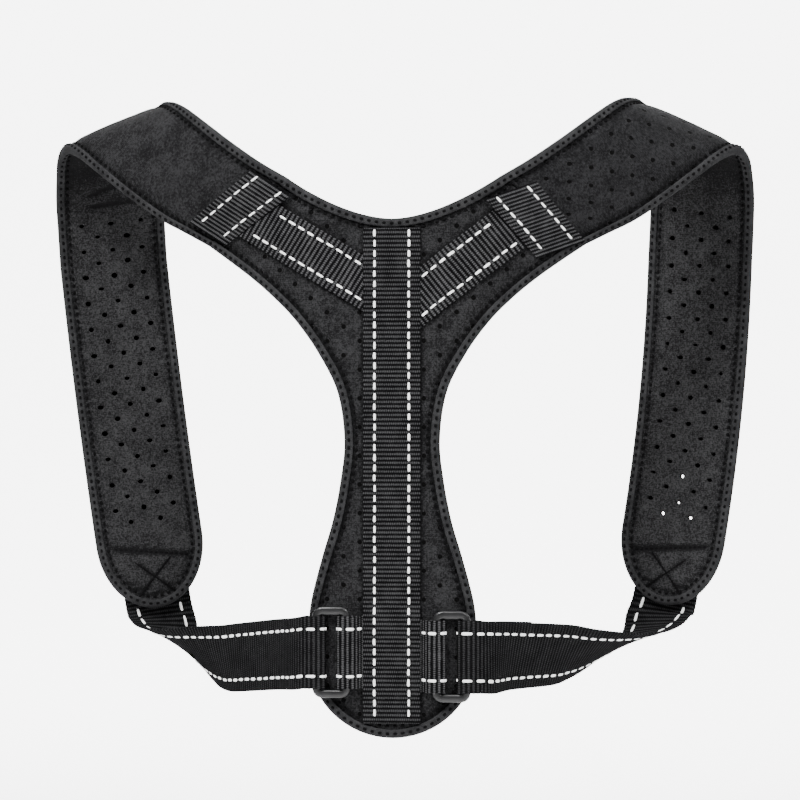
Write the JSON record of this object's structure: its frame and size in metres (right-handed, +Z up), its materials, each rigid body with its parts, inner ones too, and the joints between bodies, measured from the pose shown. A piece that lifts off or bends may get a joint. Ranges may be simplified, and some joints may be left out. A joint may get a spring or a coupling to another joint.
{
  "type": "posture corrector",
  "caption": "Posture corrector with a padded Y-shaped back panel, padded shoulder straps, ribbed webbing and side straps that run back to rectangular rings.",
  "frame": {"origin": "where the shoulders carry it: midway between the shoulders, level with the underside of the shoulder straps at their top", "axes": "+X to the wearer's right, +Y to the wearer's front, +Z up"},
  "size_m": [0.4027, 0.1496, 0.3459],
  "materials": {
    "perforated_knit": "matte perforated knit over foam",
    "brushed_cloth": "matte brushed loop cloth over foam",
    "binding_tape": "matte elastic binding",
    "ribbed_webbing": "matte ribbed polyester webbing",
    "moulded_plastic": "satin moulded plastic"
  },
  "bodies": {
    "root": {"back_panel": "perforated_knit", "edge_binding": "binding_tape", "centre_webbing": "ribbed_webbing", "shoulder_strap_left": "brushed_cloth", "shoulder_strap_right": "brushed_cloth", "diagonal_webbing_left": "ribbed_webbing", "diagonal_webbing_right": "ribbed_webbing", "cross_webbing_left": "ribbed_webbing", "cross_webbing_right": "ribbed_webbing", "ring_left": "moulded_plastic", "ring_right": "moulded_plastic", "ring_tab_left": "ribbed_webbing", "ring_tab_right": "ribbed_webbing", "side_strap_left": "ribbed_webbing", "side_strap_right": "ribbed_webbing"}
  },
  "joints": []
}
